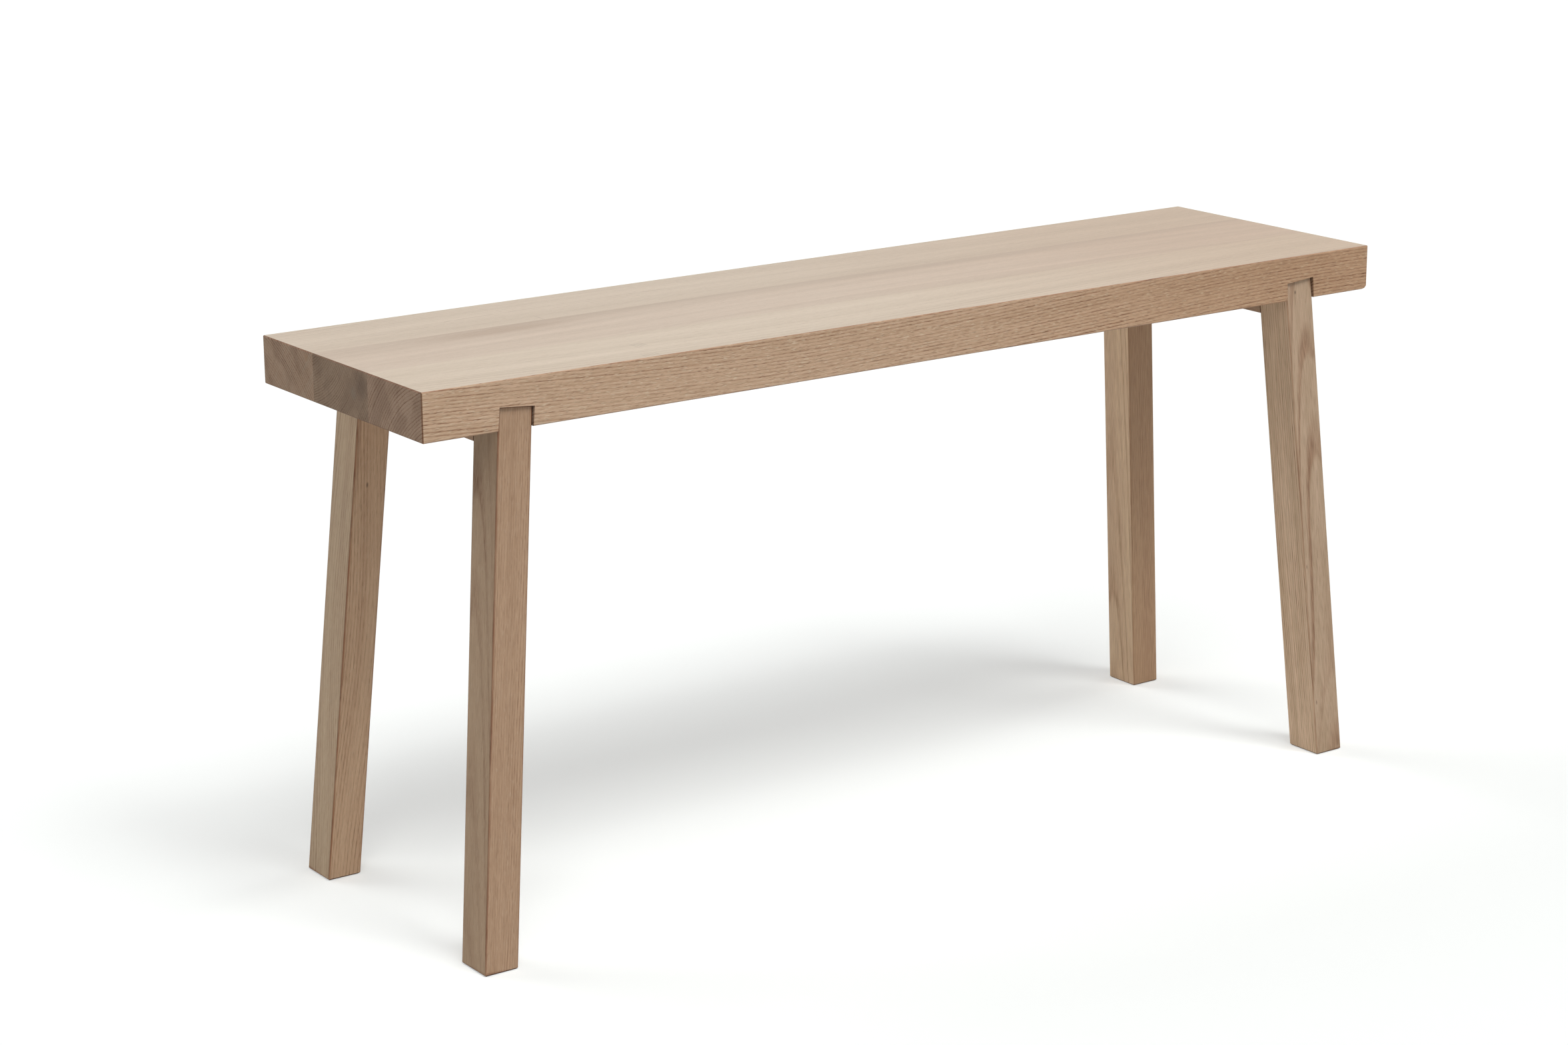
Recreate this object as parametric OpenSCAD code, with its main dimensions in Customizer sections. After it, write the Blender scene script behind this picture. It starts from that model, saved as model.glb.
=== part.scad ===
// Wooden bench: a slab seat glued up from full-length staves, on two leaning leg frames.
// X runs along the bench, Y towards its back and Z up. The origin is on the floor, under
// the seat's middle. Each frame is two splayed legs tenoned by a rail. It is worked out
// flat, then leans outwards, and its top is let into a square groove across the seat.

/* [Seat] */
// Height of the seat's top above the floor
seat_h = 450; // [400:1:500]
// Length of the seat
seat_l = 940; // [700:1:1300]
// Thickness of the seat
seat_t = 38; // [34:0.5:50]
// Width of the back stave
stave_back_w = 81; // [70:0.5:110]
// Width of the middle stave
stave_middle_w = 85; // [70:0.5:110]
// Width of the front stave
stave_front_w = 80; // [65:0.5:110]
// Width of the small bevel along the seat's arrises
seat_ease = 0.8; // [0.3:0.1:2]
// Radius of the lower arris at the seat's right-hand end
end_round_r = 6; // [3:0.5:10]

/* [Grooves] */
// Depth of each groove at its outer side, along the frame's lean
groove_d = 18; // [14:0.5:22]
// Clearance between a frame and each side of its groove
groove_gap = 0.5; // [0.2:0.1:1]
// Gap between a leg's head and the groove's ceiling
head_gap = 0.8; // [0.3:0.1:1.5]

/* [Legs] */
// Thickness of a leg along the bench, which is the rails' thickness too
leg_t = 29; // [24:0.5:36]
// Width of a leg across the bench
leg_w = 35; // [30:0.5:45]
// Radius of a leg's long arrises
leg_ease_r = 1.2; // [0.5:0.1:3]
// Width of the bevel round a foot
foot_ease = 1.5; // [0.5:0.1:3]
// Lean of a frame towards the bench's end, in degrees
lean = 5; // [2:0.1:9]
// Splay of a leg within its frame, in degrees
splay = 2.7; // [0.5:0.1:6]
// From the seat's end to a frame's outer face, at the seat's underside
frame_inset = 63.5; // [40:0.5:120]
// From the seat's long edge to a leg's outer face, at the seat's underside
leg_inset = 1.5; // [1:0.1:6]

/* [Rails] */
// How far a rail reaches below the seat, at its outer face
rail_drop = 14; // [10:0.5:30]
// Radius of a rail's long arrises
rail_ease_r = 1; // [0.5:0.1:3]
// Thickness of a tenon
tenon_t = 10; // [8:0.5:12]
// Length of a tenon
tenon_l = 22; // [15:0.5:26]
// Height of the shoulder above and below a tenon
tenon_shoulder = 7; // [4:0.5:8]
// Glue clearance round a tenon
tenon_gap = 0.1; // [0.05:0.05:0.2]
// Room for glue at a tenon's end
mortise_room = 0.8; // [0.3:0.1:1.5]

/* [Screws] */
// Diameter of a screw's shank and thread
screw_d = 5; // [4:0.5:6]
// Diameter of a screw's head
head_d = 9.5; // [8:0.5:11]
// Height of a screw's head
head_h = 3; // [2.5:0.5:4]
// Width across the flats of the hexagon socket in a screw's head
socket_af = 3; // [2.5:0.5:4]
// Depth of that socket
socket_d = 1.8; // [1:0.2:2]
// Length of a screw's tapered point
point_l = 5; // [3:0.5:7]
// Diameter of the point's blunt end
point_d = 1; // [0.5:0.1:1.5]
// Diameter of a washer
washer_d = 12; // [11:0.5:13]
// Thickness of a washer
washer_t = 1.2; // [0.8:0.2:2]
// Clearance round a shank in its washer
washer_gap = 0.2; // [0.1:0.05:0.3]
// Clearance round a shank in its rail
shank_gap = 0.3; // [0.2:0.1:0.6]
// Clearance round a thread in the seat
thread_gap = 0.05; // [0.02:0.01:0.1]
// Clearance round a washer in its counterbore
counterbore_gap = 0.5; // [0.3:0.1:1]
// Depth of a counterbore in the rail's underside
counterbore_d = 8; // [7:0.5:9]
// Length that the outer holes are slotted by, for the seat to shrink and swell
slot_play = 4; // [2:0.5:6]
// From a rail's shoulder to its outer screws
screw_end_dist = 17; // [12:0.5:24]
// Wood left in the seat above a screw's point
screw_cover = 6.5; // [4:0.5:9]

/* [Hidden] */

// Finish of the wood and the steel, as seen
seat_colour = "#CDBCA5";
edge_colour = "#C4AF95";
leg_colour = "#AD9376";
rail_colour = "#9A8066";
steel_colour = "#A9A9AC";

// Sides on a circle
round_fn = 48;
socket_sides = 6;
// Reach of a cut past the wood that it leaves
over = 5;
// Turn of a square that bevels an edge equally on both faces
bevel_turn = 45;

seat_w = stave_back_w + stave_middle_w + stave_front_w;
seat_under = seat_h - seat_t;
// Glue lines, from the front edge backwards
glue_front_y = stave_front_w - seat_w / 2;
glue_back_y = glue_front_y + stave_middle_w;

// A frame's own axes: u across its thickness, 0 at the outer face, v along Y, and w up its lean
frame_x = seat_l / 2 - frame_inset;
leg_half_v = seat_w / 2 - leg_inset;
leg_top_w = groove_d - head_gap;
// Past the floor at the leg's outer corner, so that the floor cuts every foot flat
leg_foot_w = -(seat_under / cos(lean) + leg_t) / cos(splay);
rail_h = groove_d + rail_drop;
// Half the rail between its shoulders, at the seat's underside
rail_half_v = leg_half_v - leg_w / cos(splay);
tenon_h = rail_h - 2 * tenon_shoulder;
tenon_half_v = rail_half_v + tenon_l;

// Outer and inner faces of a foot at the floor
foot_drop = (seat_under - leg_t / 2 * sin(lean)) / cos(lean);
foot_out_x = frame_x + seat_under * tan(lean);
foot_in_x = foot_out_x - leg_t / cos(lean);
foot_out_y = leg_half_v + foot_drop * tan(splay);
foot_in_y = foot_out_y - leg_w / cos(splay);

// Screw heights in the frame's axes
washer_seat_w = counterbore_d - rail_drop;
screw_seat_w = washer_seat_w - washer_t;
point_w = (seat_t - screw_cover + leg_t / 2 * sin(lean)) / cos(lean);
screw_pitch = rail_half_v - screw_end_dist;
screw_places = [-1, 0, 1];
left = -1;
right = 1;
front = -1;
back = 1;

// A rectangle with round corners, drawn from its lower left corner
module eased_rectangle(w, h, r) {
    translate([r, 0]) square([w - 2 * r, h]);
    translate([0, r]) square([w, h - 2 * r]);
    for (x = [r, w - r], y = [r, h - r]) translate([x, y]) circle(r = r, $fn = round_fn);
}

// A rectangle with bevelled corners, centred on X
module bevelled_rectangle(w, h, bevel) {
    half = w / 2;
    polygon([[bevel - half, 0], [half - bevel, 0], [half, bevel], [half, h - bevel],
             [half - bevel, h], [bevel - half, h], [-half, h - bevel], [-half, bevel]]);
}

// Puts a frame's own axes in place at one end of the seat
module at_frame(side) {
    mirror([side == left ? 1 : 0, 0, 0])
        translate([frame_x, 0, seat_under]) rotate([0, -lean, 0]) children();
}

// Puts a leg's axes in its frame, from the outer face at the seat's underside
module at_leg(row) {
    mirror([0, row == back ? 1 : 0, 0])
        translate([-leg_t, -leg_half_v, 0]) rotate([-splay, 0, 0]) children();
}

module at_screws() {
    for (place = screw_places) translate([-leg_t / 2, place * screw_pitch, 0]) children();
}

// Only the outer holes are slots: the middle screw holds the seat in place
module at_slotted_screws(half_play) {
    for (place = screw_places, end = [-1, 1])
        translate([-leg_t / 2, place * screw_pitch + abs(place) * end * half_play, 0]) children();
}

// The slab with eased arrises, before its grooves
module seat_slab() {
    intersection() {
        translate([0, seat_w / 2 + over, seat_under]) rotate([90, 0, 0])
            linear_extrude(seat_w + 2 * over) bevelled_rectangle(seat_l, seat_t, seat_ease);
        translate([-seat_l / 2 - over, 0, seat_under]) rotate([90, 0, 90])
            linear_extrude(seat_l + 2 * over) bevelled_rectangle(seat_w, seat_t, seat_ease);
        translate([0, -seat_w / 2, seat_under - over])
            linear_extrude(seat_t + 2 * over) bevelled_rectangle(seat_l, seat_w, seat_ease);
    }
}

// What rounds the lower arris at the right-hand end
module end_round_cut() {
    translate([seat_l / 2 - end_round_r, -seat_w / 2 - over, seat_under + end_round_r])
        rotate([-90, 0, 0]) difference() {
            cube([end_round_r + over, end_round_r + over, seat_w + 2 * over]);
            cylinder(r = end_round_r, h = seat_w + 2 * over, $fn = round_fn);
        }
}

// A square-bottomed groove across the seat, open at both long edges
module groove_cut(side) {
    at_frame(side)
        translate([-leg_t - groove_gap, -seat_w / 2 - over, -leg_t])
            cube([leg_t + 2 * groove_gap, seat_w + 2 * over, leg_t + groove_d]);
}

module thread_holes(side) {
    at_frame(side) at_screws()
        cylinder(d = screw_d + 2 * thread_gap, h = point_w + thread_gap, $fn = round_fn);
}

module stave(y_low, y_high) {
    difference() {
        intersection() {
            seat_slab();
            translate([-seat_l / 2 - over, y_low, seat_under - over])
                cube([seat_l + 2 * over, y_high - y_low, seat_t + 2 * over]);
        }
        end_round_cut();
        for (side = [left, right]) {
            groove_cut(side);
            thread_holes(side);
        }
    }
}

module seat_stave_back() {
    color(seat_colour) stave(glue_back_y, seat_w / 2);
}

module seat_stave_middle() {
    color(edge_colour) stave(glue_front_y, glue_back_y);
}

module seat_stave_front() {
    color(seat_colour) stave(-seat_w / 2, glue_front_y);
}

// The tenons run through in one bar. With a gap, the same bar cuts the mortises
module tenon_bar(gap, end_room) {
    half_v = tenon_half_v + end_room;
    translate([-(leg_t + tenon_t) / 2 - gap, -half_v, tenon_shoulder - rail_drop - gap])
        cube([tenon_t + 2 * gap, 2 * half_v, tenon_h + 2 * gap]);
}

// Bevels the edges that a foot makes with the floor
module foot_bevels(side, row) {
    edge = foot_ease * sqrt(2);
    run = 2 * (leg_t + leg_w);
    for (x = [foot_in_x, foot_out_x]) translate([side * x, row * foot_out_y, 0])
        rotate([0, bevel_turn, 0]) cube([edge, run, edge], center = true);
    for (y = [foot_in_y, foot_out_y]) translate([side * foot_out_x, row * y, 0])
        rotate([bevel_turn, 0, 0]) cube([run, edge, edge], center = true);
}

// A square-headed leg at the compound angle, with its foot cut flat on the floor
module leg(side, row) {
    difference() {
        at_frame(side) difference() {
            intersection() {
                at_leg(row) translate([0, 0, leg_foot_w])
                    linear_extrude(leg_w - leg_foot_w) eased_rectangle(leg_t, leg_w, leg_ease_r);
                translate([-leg_t - over, -seat_w, 2 * leg_foot_w])
                    cube([leg_t + 2 * over, 2 * seat_w, leg_top_w - 2 * leg_foot_w]);
            }
            tenon_bar(tenon_gap, mortise_room);
        }
        translate([-seat_l, -seat_w, -seat_h]) cube([2 * seat_l, 2 * seat_w, seat_h]);
        foot_bevels(side, row);
    }
}

module leg_front_left() {
    color(leg_colour) leg(left, front);
}

module leg_front_right() {
    color(leg_colour) leg(right, front);
}

module leg_back_left() {
    color(leg_colour) leg(left, back);
}

module leg_back_right() {
    color(leg_colour) leg(right, back);
}

// The rail's bar, cut at its ends to the legs' inner faces
module rail_body() {
    difference() {
        translate([-leg_t, leg_half_v, -rail_drop]) rotate([90, 0, 0])
            linear_extrude(2 * leg_half_v) eased_rectangle(leg_t, rail_h, rail_ease_r);
        for (row = [front, back]) at_leg(row) translate([-over, -over, -leg_w - rail_h])
            cube([leg_t + 2 * over, leg_w + over, 2 * (leg_w + rail_h)]);
    }
}

module rail(side) {
    at_frame(side) difference() {
        union() {
            rail_body();
            tenon_bar(0, 0);
        }
        translate([0, 0, -rail_drop - over]) {
            at_slotted_screws(slot_play / 2)
                cylinder(d = screw_d + 2 * shank_gap, h = rail_h + 2 * over, $fn = round_fn);
            at_slotted_screws(slot_play / 2)
                cylinder(d = washer_d + 2 * counterbore_gap, h = counterbore_d + over, $fn = round_fn);
            for (place = screw_places) if (place != 0) translate([-leg_t / 2, place * screw_pitch, 0]) {
                slot_web(screw_d + 2 * shank_gap, rail_h + 2 * over);
                slot_web(washer_d + 2 * counterbore_gap, counterbore_d + over);
            }
        }
    }
}

// The straight-sided middle of a slot, between its round ends
module slot_web(width, depth) {
    translate([-width / 2, -slot_play / 2, 0]) cube([width, slot_play, depth]);
}

module rail_left() {
    color(rail_colour) rail(left);
}

module rail_right() {
    color(rail_colour) rail(right);
}

module screw() {
    point_end = point_w - screw_seat_w;
    difference() {
        union() {
            translate([0, 0, -head_h]) cylinder(d = head_d, h = head_h, $fn = round_fn);
            cylinder(d = screw_d, h = point_end - point_l, $fn = round_fn);
            translate([0, 0, point_end - point_l])
                cylinder(d1 = screw_d, d2 = point_d, h = point_l, $fn = round_fn);
        }
        translate([0, 0, -head_h - over])
            cylinder(d = socket_af / cos(180 / socket_sides), h = over + socket_d, $fn = socket_sides);
    }
}

module rail_screws() {
    color(steel_colour) for (side = [left, right])
        at_frame(side) translate([0, 0, screw_seat_w]) at_screws() screw();
}

module screw_washers() {
    color(steel_colour) for (side = [left, right])
        at_frame(side) translate([0, 0, screw_seat_w]) at_screws() difference() {
            cylinder(d = washer_d, h = washer_t, $fn = round_fn);
            translate([0, 0, -over])
                cylinder(d = screw_d + 2 * washer_gap, h = washer_t + 2 * over, $fn = round_fn);
        }
}

seat_stave_back();
seat_stave_middle();
seat_stave_front();
leg_front_left();
leg_front_right();
leg_back_left();
leg_back_right();
rail_left();
rail_right();
rail_screws();
screw_washers();
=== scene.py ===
# %% [markdown]
# # A long bench in oiled oak
# The object is a bench for a hall or a long table. Its seat is glued up from three oak staves,
# and it is let down over two leaning frames of square legs. Every shape here comes from a packed
# CAD model, so this lesson is about the finish: how to make plain solids look like boards that
# were sawn from real logs, sanded and oiled, and stood in a white studio.

# %% Load the bench
import math

import bpy
from mathutils import Matrix, Quaternion, Vector


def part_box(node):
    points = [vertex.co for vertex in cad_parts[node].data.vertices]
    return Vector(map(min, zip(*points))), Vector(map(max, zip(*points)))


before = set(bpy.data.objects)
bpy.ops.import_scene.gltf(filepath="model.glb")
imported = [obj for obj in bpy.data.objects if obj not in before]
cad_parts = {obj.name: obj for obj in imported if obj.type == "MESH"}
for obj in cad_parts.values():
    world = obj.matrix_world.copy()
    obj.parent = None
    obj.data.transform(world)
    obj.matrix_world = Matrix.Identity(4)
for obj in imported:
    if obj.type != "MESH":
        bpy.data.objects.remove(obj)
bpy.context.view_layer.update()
scene = bpy.context.scene
scene.view_settings.view_transform = "Standard"
print("Pieces:", ", ".join(sorted(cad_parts)))

# %% [markdown]
# ## The camera
# The photograph was taken with a longish lens from above the left-hand front corner. A camera can
# be typed in as a place and a turn, but it is easier to think of it as an orbit: a point to look
# at, how far round and how far up to stand, and how far away. The lens is given for a full-frame
# sensor, 36 mm wide, and the shift stays at zero.

# %% Set the camera on its orbit
LOOK_AT = Vector((-0.0657, 0.0, 0.2613))
CAMERA_AZIMUTH = math.radians(-35.33)
CAMERA_ELEVATION = math.radians(15.25)
CAMERA_DISTANCE = 2.819
CAMERA_ROLL = math.radians(-0.36)
LENS_MM = 78.66
SENSOR_MM = 36.0


def direction(azimuth, elevation):
    """The way from the bench to something at that azimuth, 0 in front of it, and that elevation."""
    level = math.cos(elevation)
    return Vector((math.sin(azimuth) * level, -math.cos(azimuth) * level, math.sin(elevation)))


camera = bpy.data.objects.new("camera", bpy.data.cameras.new("camera"))
scene.collection.objects.link(camera)
scene.camera = camera
back = direction(CAMERA_AZIMUTH, CAMERA_ELEVATION)
camera.location = LOOK_AT + CAMERA_DISTANCE * back
camera.rotation_mode = "QUATERNION"
level_turn = (-back).to_track_quat("-Z", "Y")
camera.rotation_quaternion = level_turn @ Quaternion((0, 0, 1), CAMERA_ROLL)
camera.data.lens = LENS_MM
camera.data.sensor_width = SENSOR_MM
print("Camera at", [round(value, 3) for value in camera.location])

# %% [markdown]
# ## A few small helpers
# Colours are easiest to pick as sRGB hex values, as a paint or print chart gives them, but
# Blender's shaders work in linear light, so one function turns the first into the second. Another
# adds a single node: it sets the node's options, sets or links its inputs, and hands back the
# output that the next node needs, so that a material reads from top to bottom like a recipe. A
# third lays colours over one another as a painter lays glazes: each layer has an amount, a colour
# and a way to blend. MIX covers what is below, and MULTIPLY darkens it and lets it show through.

# %% Helpers for colours and nodes
MM = 0.001
WHITE = "#FFFFFF"


def linear(hex_colour):
    """An sRGB hex colour such as "#C8AA86" as linear red, green, blue and alpha."""
    parts = [int(hex_colour[at:at + 2], 16) / 255 for at in (1, 3, 5)]
    lit = [part / 12.92 if part <= 0.04045 else ((part + 0.055) / 1.055) ** 2.4 for part in parts]
    return [*lit, 1]


def add(tree, kind, inputs=None, out=0, **settings):
    """Adds one node with its settings and its inputs, set or linked, and returns one output."""
    node = tree.nodes.new("ShaderNode" + kind)
    for name, value in settings.items():
        setattr(node, name, value)
    for socket, value in (inputs or {}).items():
        if isinstance(value, bpy.types.NodeSocket):
            tree.links.new(value, node.inputs[socket])
        else:
            node.inputs[socket].default_value = value
    return node.outputs[out] if len(node.outputs) else None


def layered(tree, colour, layers):
    """A colour with layers laid over it in turn, each an amount, a hex colour and a way to blend."""
    for amount, tint, blend in layers:
        colour = add(tree, "Mix", {0: amount, 6: colour, 7: linear(tint)}, out=2,
                     data_type="RGBA", blend_type=blend)
    return colour


def new_material(name):
    """An empty material with its node tree."""
    material = bpy.data.materials.new(name)
    material.use_nodes = True
    material.node_tree.nodes.clear()
    return material, material.node_tree


print("Mid grey #808080 is", round(linear("#808080")[0], 3), "in linear light")

# %% [markdown]
# ## The white studio
# A cut-out picture of furniture has a floor that burns out to white and still holds a soft shadow.
# More light would do that, but it would burn out the oak too. Here the floor is plain pale grey
# paint, and for the camera, and in anything glossy, it also glows a little, just enough to reach
# white where all the lamps light it. The shadow stays, because it falls on the paint. The light
# that the floor throws back up on the bench is that of a darker grey without the glow.

# %% Make the floor
FLOOR_HALF = 15.0
FLOOR_SEEN = "#D4D7D5"
FLOOR_LIT = "#BCBCBC"
FLOOR_GLOW = 0.38


def seen_directly(tree):
    """1 for a ray from the camera or from a glossy or clear surface, and 0 for plain lighting."""
    seen = add(tree, "LightPath", out="Is Camera Ray")
    for other in ("Is Glossy Ray", "Is Transmission Ray"):
        ray = add(tree, "LightPath", out=other)
        seen = add(tree, "Math", {0: seen, 1: ray}, operation="MAXIMUM")
    return seen


def white_floor():
    """Matt pale paint, with a glow that is only seen and that lights nothing."""
    material, tree = new_material("matt white floor")
    seen = seen_directly(tree)
    colour = layered(tree, linear(FLOOR_LIT), [(seen, FLOOR_SEEN, "MIX")])
    glow = add(tree, "Math", {0: seen, 1: FLOOR_GLOW}, operation="MULTIPLY")
    paint = add(tree, "BsdfDiffuse", {"Color": colour})
    light = add(tree, "Emission", {"Color": linear(WHITE), "Strength": glow})
    both = add(tree, "AddShader", {0: paint, 1: light})
    add(tree, "OutputMaterial", {"Surface": both})
    return material


corners = [(x * FLOOR_HALF, y * FLOOR_HALF, 0) for x, y in ((-1, -1), (1, -1), (1, 1), (-1, 1))]
floor_mesh = bpy.data.meshes.new("floor")
floor_mesh.from_pydata(corners, [], [(0, 1, 2, 3)])
floor_mesh.materials.append(white_floor())
floor = bpy.data.objects.new("floor", floor_mesh)
scene.collection.objects.link(floor)
print("Floor:", 2 * FLOOR_HALF, "m square")

# %% [markdown]
# ## The light
# The soft shadow lies right under the bench and behind it, with a faint streak away from each
# foot, so most of the light comes from high in front, some from behind on the left, and a little
# from low on either side. Sun lamps stand in for the studio's soft boxes: each has a wide disc,
# which makes soft shadows, and lights the whole floor evenly. Together they light a level surface
# plainly, so that a colour shows as it is written. The walls are white to the eye and in
# reflections, and light nothing.

# %% Hang the lights
# Each lamp's azimuth, elevation and width in degrees, and its strength
LAMPS = {
    "high": (0, 70, 20, 0.87),
    "key right": (20, 55, 20, 0.93),
    "key left": (-30, 55, 20, 0.54),
    "front low": (20, 25, 20, 0.14),
    "left low": (-60, 18, 50, 0.46),
    "right low": (90, 15, 30, 0.89),
    "back left": (-150, 32, 40, 1.30),
}
walls = bpy.data.worlds.new("white walls")
scene.world = walls
walls.use_nodes = True
walls.node_tree.nodes.clear()
seen = seen_directly(walls.node_tree)
glow = add(walls.node_tree, "Background", {"Color": linear(WHITE), "Strength": seen})
add(walls.node_tree, "OutputWorld", {"Surface": glow})
level_light = 0.0
for name, (azimuth, elevation, width, strength) in LAMPS.items():
    lamp = bpy.data.objects.new(name, bpy.data.lights.new(name, "SUN"))
    scene.collection.objects.link(lamp)
    lamp.data.energy = strength
    lamp.data.angle = math.radians(width)
    towards = direction(math.radians(azimuth), math.radians(elevation))
    lamp.rotation_euler = (-towards).to_track_quat("-Z", "Y").to_euler()
    level_light += strength * towards.z / math.pi
print("Light on a level surface, where 1 shows a colour as it is written:", round(level_light, 2))

# %% [markdown]
# ## How a board sits in its log
# Oak looks the way it does because of where the board was sawn from. A log grows in rings round
# its pith, and every ring begins with a band of wide open vessels. Saw across the rings and they
# show as straight close lines, saw along them and they show as flames, and the end of the board
# shows them as arcs. So the grain isn't painted on each face. It is worked out in the round,
# from where each board lay beside the pith, and the faces then agree with each other by
# themselves. A board is given by its axes, its middle and its half sizes in millimetres.

# %% Find each board's axes
ROW_X = Vector((1, 0, 0))
ROW_Y = Vector((0, 1, 0))
LEG_HALF = (14.5, 17.5)
RAIL_HALF = (14.5, 16)
FOOT_SLICE = 0.1 * MM
HEAD_SLICE = 3 * MM


def board_of(grain, side, middle, half):
    """A board: the turn lays x along its grain and y along its side."""
    turn = Matrix((grain, side, grain.cross(side))).transposed().to_euler()
    return {"turn": turn, "grain": grain, "side": side, "middle": middle, "half": half}


def vertex_mean(node, low_z, high_z):
    """The middle of a node's corners between two heights."""
    found = [v.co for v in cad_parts[node].data.vertices if low_z <= v.co.z <= high_z]
    return sum(found, Vector()) / len(found)


def leg_board(node):
    """A leg: x is up its grain, y is to the right and z to the back."""
    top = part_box(node)[1].z
    foot = vertex_mean(node, 0, FOOT_SLICE)
    head = vertex_mean(node, top - HEAD_SLICE, top)
    grain = (head - foot).normalized()
    right = ROW_Y.cross(grain).normalized()
    half_length = (head - foot).length / MM / 2
    return board_of(grain, right, (head + foot) / 2, (half_length, *LEG_HALF))


def rail_board(node, leg):
    """A rail: x is along its grain to the back, y is to the right, square to the leg's face."""
    low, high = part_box(node)
    half_length = (high.y - low.y) / MM / 2
    return board_of(ROW_Y, leg["side"], (low + high) / 2, (half_length, *RAIL_HALF))


seat_low, seat_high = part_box("seat_stave_back")
for other in ("seat_stave_middle", "seat_stave_front"):
    low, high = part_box(other)
    seat_low = Vector(map(min, seat_low, low))
    seat_high = Vector(map(max, seat_high, high))
seat_half = tuple((seat_high - seat_low) / MM / 2)
seat_board = board_of(ROW_X, ROW_Y, (seat_low + seat_high) / 2, seat_half)
leg_boards = {node: leg_board(node) for node in sorted(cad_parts) if node.startswith("leg")}
rail_boards = {"rail_" + end: rail_board("rail_" + end, leg_boards["leg_front_" + end])
               for end in ("left", "right")}
print("Seat half sizes in mm:", [round(size, 1) for size in seat_half])
for node, board in leg_boards.items():
    print(node, "grain runs along", [round(part, 3) for part in board["grain"]])

# %% [markdown]
# ## A point in its board and in its log
# Two Mapping nodes carry a point of the surface into the log. The first gives its place in the
# board in millimetres from the middle. The second gives its place in the log: x along it, y
# outwards from the pith to the board, and z round it. No tree is straight, so a slow noise then
# moves the point a few millimetres. Every size below can now be a real one in millimetres.

# %% Helpers for places in the wood
WANDER_SIZE = (280, 90, 90)
SOFT = {"interpolation_type": "SMOOTHSTEP"}


def in_board(tree, board):
    """A surface point in its board: along the grain and to its two sides, in mm."""
    place = add(tree, "TexCoord", out="Object")
    return add(tree, "Mapping", {
        "Vector": place, "Location": board["middle"], "Rotation": board["turn"],
        "Scale": (MM, MM, MM)}, vector_type="TEXTURE")


def in_log(tree, at, look):
    """That point in its log, with the wander of a grown tree."""
    side, through = look["pith"]
    straight = add(tree, "Mapping", {
        "Vector": at, "Location": (-look["along"], side, through),
        "Rotation": (math.atan2(-through, -side), 0, 0)}, vector_type="TEXTURE")
    slow = add(tree, "VectorMath", {0: straight, 1: WANDER_SIZE}, operation="DIVIDE")
    drift = add(tree, "TexNoise", {"Vector": slow, "Scale": 1.0, "Detail": 1.0}, out="Color")
    wander = look["wander"]
    moved = add(tree, "VectorMath", {
        0: drift, 1: (0, wander, wander), 2: (0, -wander / 2, -wander / 2)}, operation="MULTIPLY_ADD")
    return add(tree, "VectorMath", {0: straight, 1: moved}, operation="ADD")


def grown(tree, at, size, detail):
    """Noise from 0 to 1 whose patches have that size in mm along, outwards from and round the pith."""
    stretched = add(tree, "VectorMath", {0: at, 1: size}, operation="DIVIDE")
    return add(tree, "TexNoise", {"Vector": stretched, "Scale": 1.0, "Detail": detail})


def patches(tree, at, size, edge, detail):
    """That noise cut into patches: 0 below the edge's first value, 1 above its second."""
    low, high = edge
    return add(tree, "MapRange", {0: grown(tree, at, size, detail), 1: low, 2: high}, **SOFT)


def product(tree, first, *others):
    """Several masks and strengths multiplied together."""
    result = first
    for other in others:
        result = add(tree, "Math", {0: result, 1: other}, operation="MULTIPLY")
    return result


print("The grain wanders over", WANDER_SIZE[0], "mm of length")

# %% [markdown]
# ## The rings
# Each ring of oak starts in spring with a band of vessels wide enough to see, and goes on with
# dense summer wood. Rings are counted outwards from the pith. The count also changes slowly along
# the board, because a trunk tapers and sways, and that is what draws long slow curves on a face.

# %% Count the rings
YEARS_SIZE = (900, 12, 90)


def ring_count(tree, at, log, look):
    """The distance from the pith, and the rings that lie within it, with a fraction of a ring."""
    level = add(tree, "VectorMath", {0: log, 1: (0, 1, 1)}, operation="MULTIPLY")
    radius = add(tree, "VectorMath", {0: level}, out="Value", operation="LENGTH")
    along = add(tree, "SeparateXYZ", {0: at}, out="X")
    start, length, height = look["sway"]
    swing = add(tree, "Math", {0: along, 1: start}, operation="SUBTRACT")
    swing = add(tree, "Math", {0: swing, 1: 2 * math.pi / length}, operation="MULTIPLY")
    swing = add(tree, "Math", {0: swing}, operation="COSINE")
    swayed = add(tree, "Math", {0: swing, 1: height, 2: radius}, operation="MULTIPLY_ADD")
    tapered = add(tree, "Math", {0: along, 1: look["taper"], 2: swayed}, operation="MULTIPLY_ADD")
    even = add(tree, "Math", {0: tapered, 1: look["ring"]}, operation="DIVIDE")
    uneven = grown(tree, log, YEARS_SIZE, 1.0)
    rings = add(tree, "Math", {0: uneven, 1: look["uneven"], 2: even}, operation="MULTIPLY_ADD")
    return radius, rings


print("Good and poor years come in groups", YEARS_SIZE[1], "mm thick")

# %% [markdown]
# ## The spring wood
# The wide vessels stand close together in the first part of a ring, the spring wood. A wet year
# gives a strong band and a dry one a faint band, and no band is equally strong all along. A wave
# would draw every ring alike, so the fraction of the ring count makes the band, and the whole
# part of the count picks how good that year was.

# %% Draw the spring wood
# As parts of a ring, where the band starts and is full, and where it is gone and was last full
SPRING_STARTS = (0.0, 0.12)
SPRING_STOPS = (0.55, 0.15)
# What is left of the band in the poorest year, and where it fades
POOR_YEAR = 0.3
FAINT_PLACE = 0.5
FADE = {"size": (110, 16, 24), "edge": (0.35, 0.65), "detail": 1.0}


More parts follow.
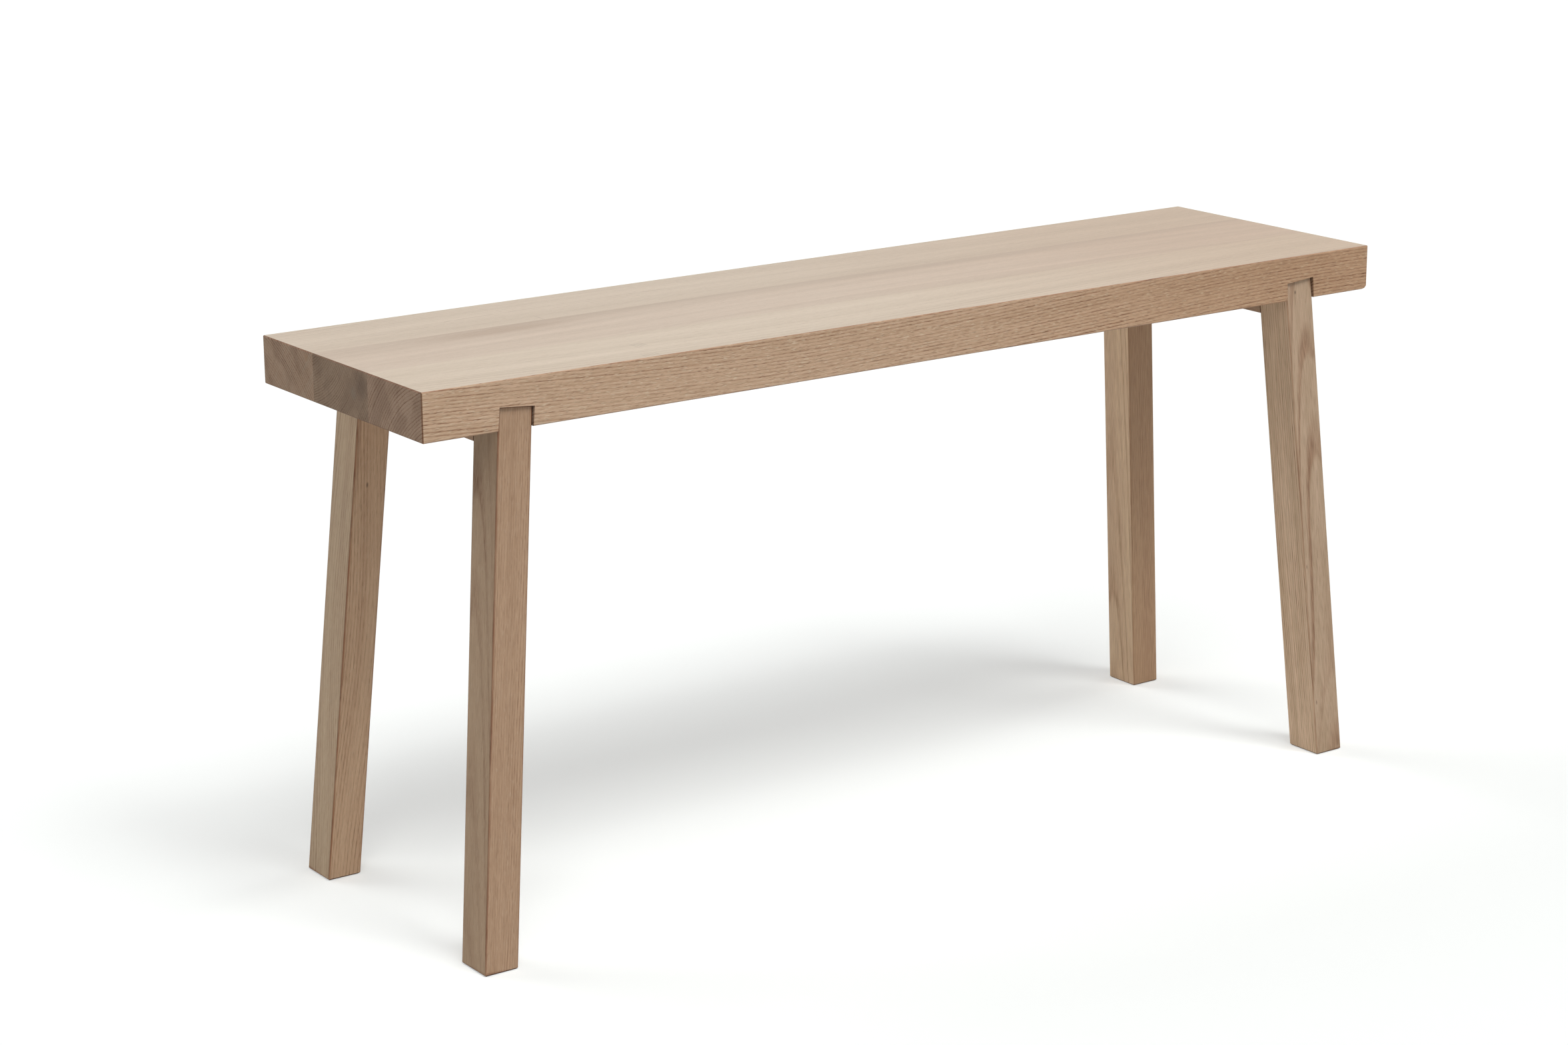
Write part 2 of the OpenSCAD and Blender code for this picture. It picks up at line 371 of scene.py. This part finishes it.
def spring_band(tree, log, rings, look):
    """1 in the spring wood of each ring, fainter in a poor year and where the band fades."""
    within = add(tree, "Math", {0: rings}, operation="FRACT")
    edges = [add(tree, "MapRange", {0: within, 1: low, 2: high}, **SOFT)
             for low, high in (SPRING_STARTS, SPRING_STOPS)]
    year = add(tree, "Math", {0: rings}, operation="FLOOR")
    year = add(tree, "Math", {0: year, 1: look["along"]}, operation="ADD")
    luck = add(tree, "TexWhiteNoise", {"W": year}, noise_dimensions="1D")
    good_year = add(tree, "MapRange", {0: luck, 3: POOR_YEAR, 4: 1.0})
    fade = add(tree, "MapRange", {0: patches(tree, log, **FADE), 3: FAINT_PLACE, 4: 1.0})
    return product(tree, *edges, good_year, fade)


print("Spring wood takes up", SPRING_STOPS[0], "of a ring")

# %% [markdown]
# ## The rays
# The rays are thin upright sheets that run out from the pith. On the end of a board they are long
# lines that fan out. They could be lines drawn on the ends alone, but then they wouldn't point at
# each board's own pith. Here the log is measured round its pith, as an angle times a distance,
# and a noise that is thin in that direction only makes the sheets. They are drawn about twice as
# thick as they are, because the finest real ones wouldn't show.

# %% Draw the rays
RAY_SIZE = (30, 50, 0.8)


def ray_sheets(tree, log, radius, look):
    """Noise in long sheets that run out from the pith: high in pale rays and low in dark ones."""
    along, out, round_it = [add(tree, "SeparateXYZ", {0: log}, out=axis) for axis in range(3)]
    angle = add(tree, "Math", {0: round_it, 1: out}, operation="ARCTAN2")
    arc = add(tree, "Math", {0: angle, 1: look["reach"]}, operation="MULTIPLY")
    sheet = add(tree, "CombineXYZ", {0: along, 1: radius, 2: arc})
    return grown(tree, sheet, RAY_SIZE, 0.5)


print("One cell of the rays' noise is", RAY_SIZE[2], "mm thick")

# %% [markdown]
# ## The vessels and the flecks
# The vessels are 0.2 to 0.4 mm wide, and one that the saw opened lengthways is a short dark
# groove. A picture of them would blur close up and wouldn't turn the corner from a face to its
# end, so they are a noise in the log, stretched along it and let through in the spring wood. A
# few late vessels stand outside it. Where a face is cut nearly along a ray, the ray shows as a
# short pale fleck. Both are drawn about twice as coarse as they are, so that they show.

# %% Put the growth together
# The values of the noise between which the edge of a vessel lies, in spring wood and outside it
OPEN_EDGE = (0.44, 0.62)
LATE_EDGE = (0.58, 0.74)
# A late vessel's length, width and darkness, as parts of a spring one's
LATE_SHORTER = 0.8
LATE_THINNER = 0.9
LATE_STRENGTH = 0.5
# Rings times this is noise: a patch of one tone spans about three rings
YEARS_SCALE = 0.3
FLECK = {"size": (5, 0.6, 0.6), "edge": (0.62, 0.76), "detail": 0.0}


def growth(tree, at, log, look):
    """Masks for spring wood, vessels, flecks and rays, and a slow tone over several rings."""
    radius, rings = ring_count(tree, at, log, look)
    spring = spring_band(tree, log, rings, look)
    years = add(tree, "CombineXYZ", {0: rings, 1: look["along"]})
    tone = add(tree, "TexNoise", {"Vector": years, "Scale": YEARS_SCALE, "Detail": 1.5})

    long, thick = look["pores"]
    opened = product(tree, spring, patches(tree, log, (long, thick, thick), OPEN_EDGE, 1.5))
    thin = LATE_THINNER * thick
    late = patches(tree, log, (LATE_SHORTER * long, thin, thin), LATE_EDGE, 1.0)
    vessels = add(tree, "Math", {0: late, 1: LATE_STRENGTH, 2: opened},
                  operation="MULTIPLY_ADD", use_clamp=True)
    flecks = patches(tree, log, **FLECK)
    return spring, vessels, flecks, ray_sheets(tree, log, radius, look), tone


print("A fleck is drawn", FLECK["size"][0], "mm long")

# %% [markdown]
# ## The faces
# Oil sinks deepest where the vessels are open, so the end grain is about half as bright as the
# faces; part of that darkness is painted shade, and the tints of the top and the sides also paint
# in how brightly each face is lit, so that the top, the sides and the ends of a board never quite
# match. They could be separate materials, but the bevels between them would then belong to one or
# the other. Here a mask for each comes from the way the surface is turned, so a bevel gets a
# share of both its neighbours.

# %% Tell the faces apart
# How squarely a surface has to face, as a cosine, for its mask to start and to be full
FACE_EDGE = (0.45, 0.72)


def face_masks(tree, board):
    """Masks for the board's broad flat faces, its side faces and its end faces."""
    normal = add(tree, "TexCoord", out="Normal")
    masks = {}
    for face, axis in (("side", board["side"]), ("end", board["grain"])):
        turned = add(tree, "VectorMath", {0: normal, 1: axis}, out="Value", operation="DOT_PRODUCT")
        turned = add(tree, "Math", {0: turned}, operation="ABSOLUTE")
        masks[face] = add(tree, "MapRange", {0: turned, 1: FACE_EDGE[0], 2: FACE_EDGE[1]}, **SOFT)
    other = add(tree, "Math", {0: masks["end"], 1: masks["side"]}, operation="MAXIMUM")
    masks["flat"] = add(tree, "Math", {0: 1.0, 1: other}, operation="SUBTRACT")
    return masks


full_end = round(math.degrees(math.acos(FACE_EDGE[1])))
print("A surface is all end grain when it is turned less than", full_end, "degrees from the end")

# %% [markdown]
# ## The arrises
# The sanded corners of a board are its arrises. A little end grain shows on them, so they are
# darker and redder than the faces, most of all where hands rub them and round the board's ends.
# A bevel node would find them, but slowly. Since each point is known in millimetres from the
# board's middle, there is a quicker way: an arris is where a point is close to two faces at once.

# %% Find the arrises
ARRIS_CORE = 0.3
# Wear from hands is a slow noise, made a little stronger and then lowered
HANDLED_SIZE = (40, 40, 40)
HANDLED_GAIN = 1.2
HANDLED_DROP = -0.1
END_WEAR = 0.3


def arris_mask(tree, at, half, width):
    """1 on a board's arrises and 0 on its faces, from the second nearest of its three faces."""
    size = add(tree, "VectorMath", {0: at}, operation="ABSOLUTE")
    inside = add(tree, "VectorMath", {0: half, 1: size}, operation="SUBTRACT")
    gaps = [add(tree, "SeparateXYZ", {0: inside}, out=axis) for axis in range(3)]
    pairs = [(gaps[0], gaps[1]), (gaps[1], gaps[2]), (gaps[0], gaps[2])]
    larger = [add(tree, "Math", {0: one, 1: two}, operation="MAXIMUM") for one, two in pairs]
    nearest = add(tree, "Math", {0: larger[0], 1: larger[1]}, operation="MINIMUM")
    nearest = add(tree, "Math", {0: nearest, 1: larger[2]}, operation="MINIMUM")
    return add(tree, "MapRange", {0: nearest, 1: width, 2: ARRIS_CORE}, **SOFT)


def worn_arrises(tree, at, board, look, end):
    """The arrises, stronger where hands have rubbed them and round the board's ends."""
    wear, width = look["arris"]
    handled = grown(tree, at, HANDLED_SIZE, 2.0)
    worn = add(tree, "Math", {0: handled, 1: HANDLED_GAIN * wear, 2: HANDLED_DROP * wear},
               operation="MULTIPLY_ADD")
    worn = add(tree, "Math", {0: end, 1: END_WEAR, 2: worn}, operation="MULTIPLY_ADD")
    return product(tree, arris_mask(tree, at, board["half"], width), worn)


print("An arris is at its darkest within", ARRIS_CORE, "mm of the corner")

# %% [markdown]
# ## Single marks
# A pin knot, a nick or a scuff happens once, so no pattern can give it. Each is one soft spot at
# its own place in the board. It is a solid thing, with a depth, so on a corner it shows on both
# faces.

# %% Place a single mark
SPOT_CORE = 0.2


def spot(tree, at, centre, size):
    """1 at one place in the board, falling softly to 0 at that size in mm from it."""
    offset = add(tree, "VectorMath", {0: at, 1: centre}, operation="SUBTRACT")
    scaled = add(tree, "VectorMath", {0: offset, 1: size}, operation="DIVIDE")
    distance = add(tree, "VectorMath", {0: scaled}, out="Value", operation="LENGTH")
    return add(tree, "MapRange", {0: distance, 1: 1.0, 2: SPOT_CORE}, **SOFT)


print("A mark is at its darkest within", SPOT_CORE, "of its size")

# %% [markdown]
# ## Oiled oak
# The boards were planed, sanded and oiled. Oil leaves no film, so the eye sees the wood itself:
# matt and warm, with open vessels that break up the shine. The seat's top was sanded finest and
# is a little smoother than the sides, the legs are rougher, and the end grain is the roughest.
# The vessels are rougher than the wood between them and sunk 0.12 mm into it, which is real, and
# the arrises are a little smoother. The fibres are far finer than the eye can see, and are drawn
# 0.4 mm thick so that they show at all. Wood has an IOR of about 1.5.

# %% Choose the oak's patterns and tints
FIBRE_SIZE = (15, 0.42, 0.42)
FIBRE_CONTRAST = 1.9
# The values of the rays' noise at which pale and dark rays start and are full
PALE_RAY = (0.60, 0.70)
DARK_RAY = (0.36, 0.28)
# How much of the pale rays shows on every face
FACE_SHINE = 0.04
SOAKED = {"size": (30, 16, 26), "edge": (0.42, 0.62), "detail": 2.0}
TINTS = {
    "spring": "#C8A486",
    "pale ray": "#D1C4B1",
    "dark ray": "#E2DAD2",
    "fleck": "#E6D7C3",
    "vessel": "#744C32",
    "soaked": "#E6E2DF",
    "arris": "#BF9A82",
}


def wood_tone(tree, parts):
    """0 for the dark colour and 1 for the pale, from several noises with a contrast each."""
    tone = 0.5
    for noise, contrast in parts:
        centred = add(tree, "Math", {0: noise, 1: 0.5}, operation="SUBTRACT")
        tone = add(tree, "Math", {0: centred, 1: contrast, 2: tone}, operation="MULTIPLY_ADD")
    return tone


print("Glazes on the oak:", ", ".join(TINTS))

# %% Put the oak material together
OAK_IOR = 1.5
VESSEL_DEPTH = 0.12 * MM
VESSEL_RELIEF = 0.5
VESSEL_ROUGHER = 0.15
ARRIS_SMOOTHER = -0.06


def oiled_oak(name, board, look):
    """Planed and sanded oak under oil: matt, warm, with open vessels and darker end grain."""
    material, tree = new_material(name)
    at = in_board(tree, board)
    log = in_log(tree, at, look)
    spring, vessels, flecks, sheets, years = growth(tree, at, log, look)
    faces = face_masks(tree, board)
    end = faces["end"]
    shown = add(tree, "Math", {0: faces["flat"], 1: look["calm"] - 1, 2: 1.0}, operation="MULTIPLY_ADD")
    vessels = product(tree, vessels, shown)
    fibre = grown(tree, log, FIBRE_SIZE, 1.0)
    tone = wood_tone(tree, [
        (years, look["years"]),
        (grown(tree, log, look["band"], 3.0), look["bands"]),
        (fibre, product(tree, shown, FIBRE_CONTRAST))])

    pale_rays, dark_rays = [add(tree, "MapRange", {0: sheets, 1: low, 2: high}, **SOFT)
                            for low, high in (PALE_RAY, DARK_RAY)]
    shine = add(tree, "Math", {0: end, 1: look["shine"], 2: FACE_SHINE}, operation="MULTIPLY_ADD")
    start, stop, warmth = look["redder"]
    along = add(tree, "SeparateXYZ", {0: at}, out="X")
    redder = add(tree, "MapRange", {0: along, 1: start, 2: stop}, **SOFT)
    edge = worn_arrises(tree, at, board, look, end)
    marks = [(product(tree, spot(tree, at, centre, size), strength), tint, "MIX")
             for centre, size, tint, strength in look["marks"]]
    colour = layered(tree, linear(look["dark"]), [
        (tone, look["pale"], "MIX"),
        (product(tree, spring, shown, look["spring"]), TINTS["spring"], "MULTIPLY"),
        (product(tree, pale_rays, shine), TINTS["pale ray"], "MIX"),
        (product(tree, end, dark_rays, look["rays"]), TINTS["dark ray"], "MULTIPLY"),
        (product(tree, flecks, shown, look["flecks"]), TINTS["fleck"], "MIX"),
        (product(tree, vessels, look["vessel"]), TINTS["vessel"], "MIX"),
        *marks,
        (redder, warmth, "MULTIPLY"),
        # The face tints are partly painted light and shade: how brightly each face is lit
        *[(faces[face], look[face], "MULTIPLY") for face in ("flat", "side", "end")],
        (product(tree, end, patches(tree, log, **SOAKED)), TINTS["soaked"], "MULTIPLY"),
        (edge, TINTS["arris"], "MULTIPLY")])

    on_flat, on_side, on_end = look["rough"]
    gloss = on_side
    for mask, change in ((faces["flat"], on_flat - on_side), (end, on_end - on_side),
                         (vessels, VESSEL_ROUGHER), (edge, ARRIS_SMOOTHER)):
        gloss = add(tree, "Math", {0: mask, 1: change, 2: gloss}, operation="MULTIPLY_ADD")
    height = add(tree, "Math", {0: fibre, 1: vessels}, operation="SUBTRACT")
    relief = add(tree, "Bump", {"Strength": VESSEL_RELIEF, "Distance": VESSEL_DEPTH, "Height": height})
    surface = add(tree, "BsdfPrincipled", {
        "Base Color": colour, "Roughness": gloss, "IOR": OAK_IOR, "Normal": relief})
    add(tree, "OutputMaterial", {"Surface": surface})
    return material


def finish_node(node, material):
    """Puts a material on a CAD node."""
    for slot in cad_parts[node].material_slots:
        slot.material = material
    print(node, "is now", material.name)


print("Vessels are cut", round(VESSEL_DEPTH / MM, 2), "mm deep")

# %% [markdown]
# ## The seat's three staves
# A look says how one board differs from another. The staves came from three boards, and the end
# grain tells how each lay in its log: the rays fan out from the pith, so two rays that are
# followed back meet there. Each stave gets its own pith, its own ring width and its own tone. The
# top is tinted the palest and greyest face, a painted sheen for the light it catches, and its
# grain is drawn calm. Towards the right the seat is a little redder.

# %% Describe the seat's oak
OAK = {
    # The log, in mm
    "along": 0,                 # how far up the trunk, so that no two boards have the same grain
    "wander": 4.0,              # how far the grain strays
    "taper": 0.0,               # how fast the rings close in along the board
    "sway": (0, 1000, 0.0),     # where a slow curve crests, its length and its height
    "ring": 2.0,                # the width of a ring
    "uneven": 1.2,              # how many rings good and poor years shift the count
    "reach": 110,               # the distance from the pith where the rays have their drawn size
    # How strongly each thing shows, and its size in mm
    "years": 0.8,               # tone of groups of rings
    "bands": 1.0,               # tone of broad bands
    "band": (420, 14, 26),      # the size of a broad band
    "spring": 0.62,             # spring wood
    "vessel": 1.0,              # vessels
    "pores": (7, 0.5),          # a vessel's drawn length and width
    "flecks": 0.6,              # pale flecks
    "rays": 0.4,                # dark rays on the ends
    "shine": 0.12,              # pale rays on the ends
    "calm": 0.3,                # how much of the grain the flat faces show
    "arris": (1.0, 1.3),        # how worn the arrises are, and how wide
    "rough": (0.35, 0.5, 0.85),     # roughness of the flat faces, the sides and the ends
    # The colours, where flat, side and end multiply what is below on those faces, partly as painted
    # light and shade
    "dark": "#C3A58B",
    "pale": "#DFC2AB",
    # The flat tint, paler and greyer, is a painted sheen on the top
    "flat": "#D0DCE8",
    "side": "#FBF6EB",
    "end": "#B0ABA8",
    "redder": (-150, 470, "#EFE4D8"),   # where a warm tone starts and is full, and its tint
    "marks": (),                # single marks: a place, a size, a colour and a strength
}
print("The seat's vessels are drawn", OAK["pores"][1], "mm wide")

# %% Finish the seat
STAVE_TOP = 19
STAVE_BOTTOM = -19
STAVE_END = -470
STAVE_FRONT = -123
SCUFF_STEP = 3
SCUFF_WIDTH = 0.9
SCUFF_DEPTH = 2
SCUFF_TINT = "#8B725F"
SCUFF_STRENGTH = 0.42


def scuffs(x, y, half, count):
    """Faint marks across the grain, evenly spaced, as something ribbed leaves when it is dragged."""
    size = (SCUFF_WIDTH, half, SCUFF_DEPTH)
    return tuple(((x + SCUFF_STEP * step, y, STAVE_TOP), size, SCUFF_TINT, SCUFF_STRENGTH)
                 for step in range(count))


# Each stave's flat tint is a painted sheen on its top, and its end tint is partly painted shade
STAVES = {
    "seat_stave_back": OAK | {
        "pith": (199, -154), "along": 1300, "ring": 2.6, "sway": (-150, 1200, 5.8),
        "shine": 0.25, "flat": "#E8F2F1", "end": "#C2BDB5",
        "marks": (
            ((STAVE_END, 52, 14), (3, 5, 5), "#C49B75", 0.4),               # a tan spot
            *scuffs(-265, 50, 11, 1))},
    "seat_stave_middle": OAK | {
        "pith": (71, 71), "along": 3100, "ring": 2.0, "sway": (80, 1100, 12.0),
        "flat": "#E9F0F0", "end": "#AEABA3",
        "marks": (
            ((-330, 32, STAVE_TOP), (300, 34, 30), "#A28266", 0.3),         # a broad tan streak
            ((90, 42, STAVE_TOP), (700, 20, 30), "#A28266", 0.45),          # one beside the joint
            ((-315, 26, STAVE_TOP), (90, 14, 30), "#9F7855", 0.45),         # a short tan streak
            ((STAVE_END, -33, 8), (12, 13, 16), "#634C3E", 0.35),           # a dark patch
            ((STAVE_END, -21, 0), (8, 6, 8), "#C4B9AD", 0.4))},             # a pale patch
    "seat_stave_front": OAK | {
        "pith": (-160, -84), "along": 5200, "ring": 2.5, "sway": (-120, 1100, 8.5),
        "flat": "#F1FDFD", "end": "#C1BCB6",
        "marks": (
            ((STAVE_END, -43, STAVE_TOP), (1.6, 1.2, 1.8), "#3E2A1C", 0.9),     # a nick
            ((-139, STAVE_FRONT, STAVE_BOTTOM), (2.5, 2.0, 1.2), "#5A2A18", 0.8),   # a chip
            *scuffs(-262, -82, 10, 4),
            *scuffs(-275, -115, 7, 5))},
}
for node, look in STAVES.items():
    finish_node(node, oiled_oak("oiled oak " + node, seat_board, look))

# %% [markdown]
# ## The legs and the rails
# The legs were sawn from thinner stock of a warmer brown. On some the rings run straight into the
# front face, which gives close straight lines, and the front right leg was cut along its rings,
# which gives flames. Their vessels are drawn fainter than the seat's, and on two of the legs the
# arrises are worn more. On each leg either the left and right faces or the front and back faces
# are tinted a little darker, which is painted shade and light for how brightly they are lit. The
# rails are of the same oak, painted a little darker for the shade they stand in under the seat.

# %% Describe the legs and the rails
LEG_OAK = OAK | {
    "uneven": 1.0, "band": (260, 8, 14), "spring": 0.38, "vessel": 0.45, "pores": (20, 0.6),
    "flecks": 0.1, "calm": 1.0, "rough": (0.6, 0.6, 0.85), "flat": WHITE, "side": WHITE,
    "redder": (0, 200, WHITE),
}
LEG_FRONT = -17.5
PIN_KNOT = "#4A2E1E"
SHORT_NICK = "#5A3A28"
# A leg's darker side or flat tint is painted shade and light, for how brightly those faces are lit
LEGS = {
    "leg_front_left": LEG_OAK | {
        "pith": (80, 12), "along": 700, "taper": 0.02, "arris": (1.5, 1.9), "pores": (9, 0.5),
        "vessel": 0.6, "spring": 0.3, "dark": "#AA896C", "pale": "#C4A385", "side": "#E1E4DF"},
    "leg_back_left": LEG_OAK | {
        "pith": (60, 50), "along": 1900, "sway": (10, 500, 4.5), "arris": (1.8, 1.9),
        "pores": (9, 0.5), "vessel": 0.55, "dark": "#C39E7E", "pale": "#DDBC99", "side": "#DDE4E4",
        "marks": (
            ((114, -2.3, LEG_FRONT), (3.2, 1.3, 3), PIN_KNOT, 0.7),
            ((150, -12, LEG_FRONT), (60, 2.2, 4), "#794530", 0.35))},       # a red streak
    "leg_front_right": LEG_OAK | {
        "pith": (8, 60), "along": 2600, "taper": 0.02, "ring": 2.4, "wander": 9.0, "bands": 1.5,
        "band": (120, 5, 12), "vessel": 0.7, "spring": 0.6,
        "dark": "#C4A786", "pale": "#E6C8A9", "flat": "#E2E0E0",
        "marks": (
            ((205, -4.8, LEG_FRONT), (2.4, 1.3, 3), PIN_KNOT, 0.7),
            ((-40, -12, LEG_FRONT), (3, 0.8, 3), SHORT_NICK, 0.6),
            ((-166, -11, LEG_FRONT), (3, 0.8, 3), SHORT_NICK, 0.6))},
    "leg_back_right": LEG_OAK | {
        "pith": (-70, 10), "along": 4100, "taper": 0.015,
        "dark": "#D1AE8D", "pale": "#F1D3AD", "flat": "#D8CCC4"},
}
# The rails' darker colours are painted shade, for where they stand under the seat
RAIL_OAK = LEG_OAK | {"pith": (40, 60), "dark": "#A08066", "pale": "#B8977A"}
RAILS = {
    "rail_left": RAIL_OAK | {"along": 6000},
    "rail_right": RAIL_OAK | {"along": 7000},
}
print("Boards with a look of their own:", len(LEGS) + len(RAILS))

# %% Finish the legs and the rails
for node, look in LEGS.items():
    finish_node(node, oiled_oak("oiled oak " + node, leg_boards[node], look))
for node, look in RAILS.items():
    finish_node(node, oiled_oak("oiled oak " + node, rail_boards[node], look))

# %% [markdown]
# ## The screws and washers
# Under the seat, six steel screws with washers hold it to the rails. They are zinc plated: a thin
# grey metal skin, not polished, with a faint mottle where the zinc has dulled. A metal's colour is
# its reflection, so it is metallic 1 with the default IOR and a roughness of about a third. The
# marks from handling are finer than 0.1 mm, and are drawn 0.4 mm wide so that they show.

# %% Finish the screws and washers
ZINC_DULL = "#B4B8BB"
ZINC_BRIGHT = "#D2D3D1"
ZINC_ROUGH = (0.42, 0.26)
MOTTLE_SIZE = 2.0 * MM
SCRATCH_SIZE = 0.4 * MM
SCRATCH_DEPTH = 0.02 * MM
SCRATCH_RELIEF = 0.3


def zinc_plate(name):
    """Zinc-plated steel: a soft metal sheen with a faint mottle and fine marks from handling."""
    material, tree = new_material(name)
    place = add(tree, "TexCoord", out="Object")
    mottle = add(tree, "TexNoise", {"Vector": place, "Scale": 1 / MOTTLE_SIZE, "Detail": 3.0})
    scratches = add(tree, "TexNoise", {"Vector": place, "Scale": 1 / SCRATCH_SIZE, "Detail": 1.0})
    colour = layered(tree, linear(ZINC_DULL), [(mottle, ZINC_BRIGHT, "MIX")])
    gloss = add(tree, "MapRange", {0: mottle, 3: ZINC_ROUGH[0], 4: ZINC_ROUGH[1]})
    relief = add(tree, "Bump", {
        "Strength": SCRATCH_RELIEF, "Distance": SCRATCH_DEPTH, "Height": scratches})
    surface = add(tree, "BsdfPrincipled", {
        "Base Color": colour, "Metallic": 1.0, "Roughness": gloss, "Normal": relief})
    add(tree, "OutputMaterial", {"Surface": surface})
    return material


zinc = zinc_plate("zinc-plated steel")
for node in ("rail_screws", "screw_washers"):
    finish_node(node, zinc)
